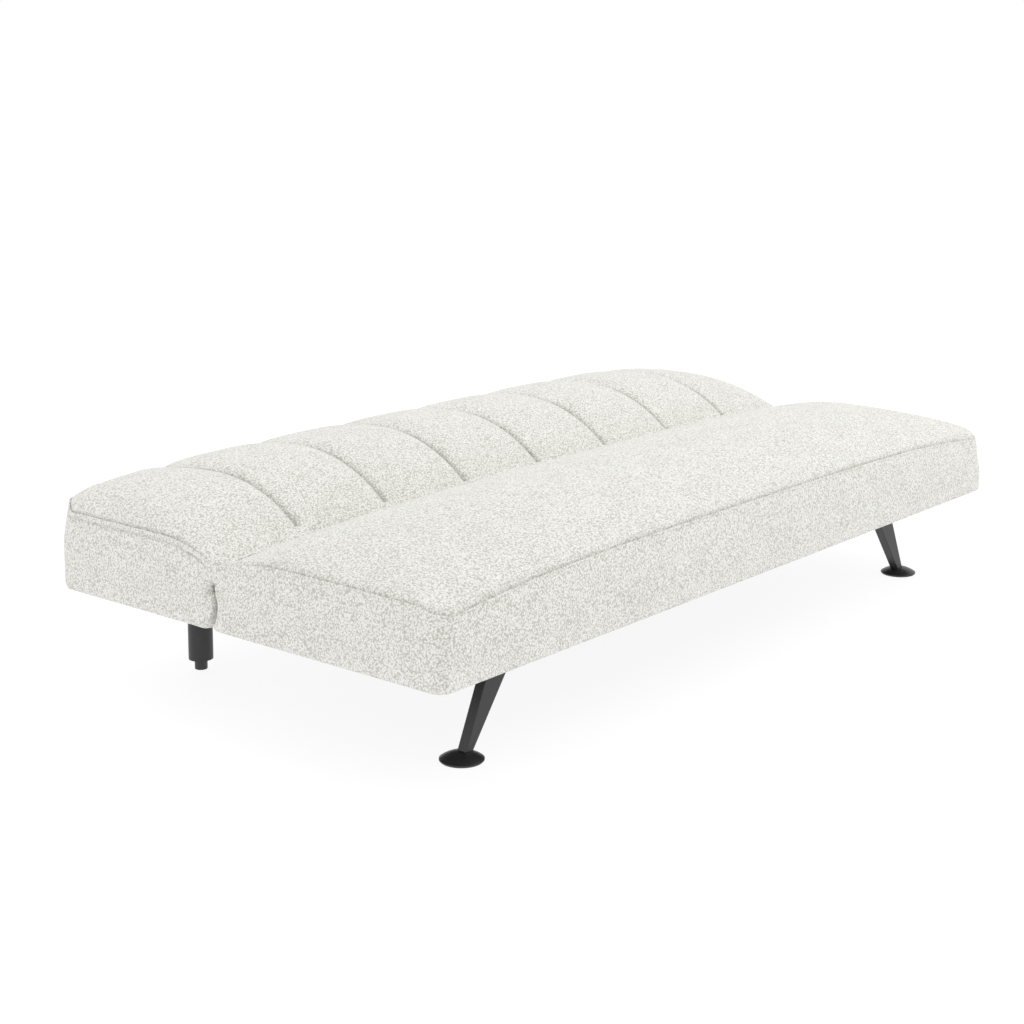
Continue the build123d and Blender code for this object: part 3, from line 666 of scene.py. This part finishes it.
def grainyFinish(name, dark, light, scale, roughness, metallic=0.0, bump=0.1, depth=0.0003, stretch=(1, 1, 1)):
    mat, tree, shader = newFinish(name)
    mapped = put(tree, "Mapping", objectPoints(tree))
    mapped.inputs["Scale"].default_value = stretch
    grain = cloudy(tree, mapped.outputs[0], scale, grainMix["detail"], grainMix["rough"]).outputs["Fac"]
    broad = cloudy(tree, mapped.outputs[0], scale / grainMix["broadScale"]).outputs["Fac"]
    both = blendMaths(tree, "ADD", blendMaths(tree, "MULTIPLY", grain, grainMix["fine"]),
                      blendMaths(tree, "MULTIPLY", broad, grainMix["broad"]))
    tree.links.new(ramp(tree, both, [(grainMix["low"], dark), (grainMix["high"], light)]), shader.inputs["Base Color"])
    spread = put(tree, "MapRange", grain, grainMix["roughLow"], grainMix["roughHigh"],
                 max(roughness - grainMix["roughBy"], 0), min(roughness + grainMix["roughBy"], 1))
    tree.links.new(spread.outputs[0], shader.inputs["Roughness"])
    shader.inputs["Metallic"].default_value = metallic
    bumped(tree, shader, both, bump, depth)
    return mat


thread = dict(ply=420.0, twist=1.5, stops=((0.2, (0.62, 0.61, 0.57)), (0.8, (0.80, 0.79, 0.75))),
              bump=0.3, depth=0.0003, surface=dict(Roughness=0.7, Sheen_Weight=0.1))


def threadFinish():
    mat, tree, shader = newFinish("ivoryThread")
    ply = feed(tree, put(tree, "TexWave"), Vector=objectPoints(tree), Scale=thread["ply"], Distortion=thread["twist"])
    tree.links.new(ramp(tree, ply.outputs["Fac"], thread["stops"]), shader.inputs["Base Color"])
    feed(tree, shader, **thread["surface"])
    bumped(tree, shader, ply.outputs["Fac"], thread["bump"], thread["depth"])
    return mat


finishes = dict(
    boucle=boucleFinish(),
    foam=grainyFinish("paleFoam", (0.72, 0.66, 0.45), (0.86, 0.80, 0.60), 420, 0.95, bump=0.6, depth=0.001),
    dust_cloth=grainyFinish("dustCloth", (0.012, 0.012, 0.013), (0.032, 0.032, 0.034), 900, 0.9, bump=0.5),
    black_metal=grainyFinish("satinBlackCoat", (0.017, 0.017, 0.0175), (0.027, 0.027, 0.0275), 1400, 0.42, bump=0.12),
    black_plastic=grainyFinish("mouldedBlack", (0.016, 0.016, 0.017), (0.028, 0.028, 0.029), 1800, 0.36, bump=0.15),
    rubber=grainyFinish("blackRubber", (0.018, 0.018, 0.018), (0.04, 0.04, 0.04), 700, 0.85, bump=0.3),
    steel=grainyFinish("zincSteel", (0.42, 0.42, 0.41), (0.66, 0.66, 0.64), 240, 0.34, metallic=1.0, bump=0.08,
                       stretch=(1, 1, 6)),
    pine=grainyFinish("sawnPine", (0.50, 0.33, 0.17), (0.74, 0.56, 0.34), 55, 0.75, bump=0.3, depth=0.0006,
                      stretch=(0.12, 1, 1)),
)
slotOf = {row["node"]: row["material_slot"] for row in frame["record"]["subparts"]}
for name, obj in nodes.items():
    obj.data.materials.clear()
    obj.data.materials.append(finishes[slotOf[name]])
for cushion, body, replaced in ((seatCushion, "seat_base", ("seat_cover", "seat_foam")),
                                (backCushion, "backrest", ("back_cover", "back_foam"))):
    cushion.data.materials.clear()
    cushion.data.materials.append(finishes["boucle"])
    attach(cushion, body)
    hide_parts(*replaced)
print("finishes set")

sewing = dict(bandWidth=0.0105, bandThickness=0.0042, bandDrop=0.0057, bandLift=-0.0008, bandRows=(0.0026, 0.0090),
              edgeWidth=0.0046, edgeThickness=0.0036, edgeDrop=0.0026, stitchDrop=-0.0105, stitchLift=0.0001,
              pitch=0.0075, stitch=0.0052, thread=0.0011, pathStep=0.006, foldClear=0.012,
              grooveFrom=0.030, grooveShort=0.012)


def seamLine(form, drop):
    # the seam without its run along the fold
    ring = seamRing(form, drop)
    q = foldDistance(form, ring)
    clear = sewing["foldClear"]
    start = int(np.argmax((q[:-1] < clear) & (q[1:] >= clear)))
    ring = np.roll(ring, -start - 1, axis=0)
    q = np.roll(q, -start - 1)
    return densify(ring[q >= clear], sewing["pathStep"], closed=False)


def channelLines(form):
    q = np.arange(sewing["grooveFrom"], form["depth"] - sewing["grooveShort"], sewing["pathStep"])
    lines = []
    for k in range(1, form["channels"]):
        x = -bed["halfLength"] + k * channelPitch(form)
        plan = np.column_stack([np.full(len(q), x), q])
        lines.append(toWorld(form, plan, crownHeight(form, plan[:, 0], q)))
    return lines


def dressSeams():
    band, row = bandTree(), stitchTree()
    cloth, lift = finishes["boucle"], sewing["stitchLift"]
    edgePath = onSkin(seatCushion, seamLine(seatForm, sewing["edgeDrop"]), 0.0)
    seatEdge = grownAlong("seatSeamEdge", [edgePath], band, Width=sewing["edgeWidth"],
                          Thickness=sewing["edgeThickness"], Finish=cloth)
    bandPath = onSkin(backCushion, seamLine(backForm, sewing["bandDrop"]), sewing["bandLift"])
    backBand = grownAlong("backSeamBand", [bandPath], band, Width=sewing["bandWidth"],
                          Thickness=sewing["bandThickness"], Finish=cloth)
    stitches = dict(Pitch=sewing["pitch"], Length=sewing["stitch"], Thread=sewing["thread"], Finish=threadFinish())
    seatPath = onSkin(seatCushion, seamLine(seatForm, sewing["stitchDrop"]), lift)
    seatRow = grownAlong("seatStitches", [seatPath], row, **stitches)
    backPaths = [onSkin(backBand, seamLine(backForm, drop), lift) for drop in sewing["bandRows"]]
    backPaths += [onSkin(backCushion, line, lift) for line in channelLines(backForm)]
    backRow = grownAlong("backStitches", backPaths, row, **stitches)
    for piece, body in ((seatEdge, "seat_base"), (seatRow, "seat_base"), (backBand, "backrest"), (backRow, "backrest")):
        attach(piece, body)
    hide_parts("seat_welt")
    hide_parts("back_welt")


dressSeams()
print("seams sewn")


def gridFaces(rows, columns):
    return [(i * columns + j, (i + 1) * columns + j, (i + 1) * columns + j + 1, i * columns + j + 1)
            for i in range(rows - 1) for j in range(columns - 1)]


def layCloth(name, verts, faces, cut):
    # a thin sheet of the cover's cloth, sewn to seat and back on either side of the fold
    piece = addMesh(name, verts, faces)
    shell = piece.modifiers.new("cloth", "SOLIDIFY")
    shell.thickness = cut["thickness"]
    shell.offset = -1
    bakeModifiers(piece)
    shadeSmooth(piece.data)
    piece.data.materials.append(finishes["boucle"])
    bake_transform(piece)


foldStrip = dict(reach=0.026, fill=0.0052, fillFall=3.0, sag=0.35, lift=0.0008, hump=0.0165, humpHalf=0.024,
                 humpFade=0.03, humpSink=0.006, humpLeast=0.001, edgeFrom=0.72, edgeSink=0.004, ends=0.886,
                 endReach=0.014, endSink=0.007, along=437, across=27, thickness=0.0016, blend=0.012, flat=(0.0635, 1.775))


def makeFoldStrip():
    # the strip of cloth that joins seat and back in the valley and covers the hinge eyes
    reach, pivot = foldStrip["reach"], bed["pivotZ"]
    xs = np.linspace(-foldStrip["ends"], foldStrip["ends"], foldStrip["along"])
    ys = np.linspace(-reach, reach, foldStrip["across"])
    x, y = np.meshgrid(xs, ys, indexing="ij")
    q = np.abs(y)
    seatTop = crownHeight(seatForm, x.ravel(), q.ravel()).reshape(x.shape)
    backTop = crownHeight(backForm, x.ravel(), q.ravel()).reshape(x.shape)
    top = np.where(y < 0, seatTop, backTop) + foldStrip["lift"]
    valley = pivot + foldStrip["fill"] * fullness(x, foldStrip["fillFall"]) ** 2 + foldStrip["sag"] * q ** 2 / reach
    fromHinge = np.abs(np.abs(x) - hingeSlot["middle"])
    near = 1 - smoothStep(foldStrip["humpHalf"], foldStrip["humpHalf"] + foldStrip["humpFade"], fromHinge)
    dome = pivot + np.sqrt(np.maximum(foldStrip["hump"] ** 2 - q ** 2, 0)) - foldStrip["humpSink"] * (1 - near)
    raised = np.where(near > foldStrip["humpLeast"], pivot + (dome - pivot) * near, 0)
    z = np.maximum(top, np.maximum(valley, raised))
    edge = smoothStep(reach * foldStrip["edgeFrom"], reach, q)
    z = z * (1 - edge) + (top - foldStrip["edgeSink"]) * edge
    z -= foldStrip["endSink"] * smoothStep(foldStrip["ends"] - foldStrip["endReach"], foldStrip["ends"], np.abs(x))
    verts = np.column_stack([x.ravel(), bed["foldY"] + y.ravel(), z.ravel()])
    layCloth("foldStrip", verts, gridFaces(len(xs), len(ys)), foldStrip)


gusset = dict(reach=0.019, shift=0.005, low=0.250, high=0.2905, proud=0.0006, hollow=0.0022, hollowWidth=0.007,
              tuck=0.0026, tuckFrom=0.009, dive=0.008, diveReach=0.016, topTuck=0.004, topReach=0.008,
              across=25, up=31, thickness=0.0014, blend=0.015, flat=(0.0405, 0.0435))


def makeGusset(side, name):
    # the end's cloth runs on from back to seat above the crease
    low, high = gusset["low"], gusset["high"]
    ys = np.linspace(-gusset["reach"], gusset["reach"], gusset["across"])
    zs = np.linspace(low, high, gusset["up"])
    y, z = np.meshgrid(ys, zs, indexing="ij")
    x = bed["halfLength"] - wallInset(z) + gusset["proud"]
    x -= gusset["hollow"] * bell(y, gusset["hollowWidth"])
    x -= gusset["tuck"] * smoothStep(gusset["tuckFrom"], gusset["reach"], np.abs(y))
    x -= gusset["dive"] * (1 - smoothStep(low, low + gusset["diveReach"], z))
    x -= gusset["topTuck"] * smoothStep(high - gusset["topReach"], high, z)
    verts = np.column_stack([side * x.ravel(), bed["foldY"] + gusset["shift"] + y.ravel(), z.ravel()])
    faces = gridFaces(len(ys), len(zs))
    layCloth(name, verts, faces if side > 0 else [f[::-1] for f in faces], gusset)


makeFoldStrip()
makeGusset(-1, "endGussetLeft")
makeGusset(1, "endGussetRight")
print("fold strip and gussets laid")

# a pale floor that glows a little, soft light from all round and the photograph's point of view
studio = dict(floorHalf=40.0, floorTone=0.12, floorDip=0.01, floorStops=(0.3, 0.7), floorGrain=6, floorRoughness=0.8,
              floorGlow=0.90, world=1.0, aim=(0, 0, 0.3))
lights = dict(keyLight=dict(place=(2.2, -2.4, 2.8), size=2.2, power=27.0),
              fillLight=dict(place=(-3.4, 1.0, 1.8), size=2.4, power=7.0),
              topLight=dict(place=(0.4, 0.3, 3.4), size=3.0, power=13.0))
shot = dict(place=(-2.9336, -2.3117, 1.1383), pitch=8.584, turn=-50.130, lens=66.546, sensor=36, shiftY=-0.17,
            clipEnd=100)


def floorFinish():
    mat, tree, shader = newFinish("paleFloor")
    soft = cloudy(tree, objectPoints(tree), studio["floorGrain"]).outputs["Fac"]
    tone = studio["floorTone"]
    tones = ((tone - studio["floorDip"],) * 3, (tone,) * 3)
    colour = ramp(tree, soft, list(zip(studio["floorStops"], tones)))
    tree.links.new(colour, shader.inputs["Base Color"])
    feed(tree, shader, Roughness=studio["floorRoughness"], Emission_Color=(1, 1, 1, 1),
         Emission_Strength=studio["floorGlow"])
    return mat


half = studio["floorHalf"]
floor = addMesh("paleFloor", [(-half, -half, 0), (half, -half, 0), (half, half, 0), (-half, half, 0)], [(0, 1, 2, 3)])
floor.data.materials.append(floorFinish())


def softLight(name, place, size, power):
    data = bpy.data.lights.new(name, "AREA")
    data.shape = "DISK"
    data.size = size
    data.energy = power
    obj = bpy.data.objects.new(name, data)
    obj.location = place
    obj.rotation_euler = (Vector(studio["aim"]) - Vector(place)).to_track_quat("-Z", "Y").to_euler()
    scene.collection.objects.link(obj)


for name, light in lights.items():
    softLight(name, **light)
world = bpy.data.worlds.new("studio")
world.use_nodes = True
world.node_tree.nodes["Background"].inputs["Color"].default_value = (1, 1, 1, 1)
world.node_tree.nodes["Background"].inputs["Strength"].default_value = studio["world"]
scene.world = world
scene.view_settings.view_transform = "Standard"

camera = bpy.data.cameras.new("camera")
camera.lens = shot["lens"]
camera.sensor_width = shot["sensor"]
camera.shift_y = shot["shiftY"]
camera.clip_end = shot["clipEnd"]
eye = bpy.data.objects.new("camera", camera)
eye.location = shot["place"]
eye.rotation_euler = (math.radians(90 - shot["pitch"]), 0, math.radians(shot["turn"]))
scene.collection.objects.link(eye)
scene.camera = eye
print("studio set")
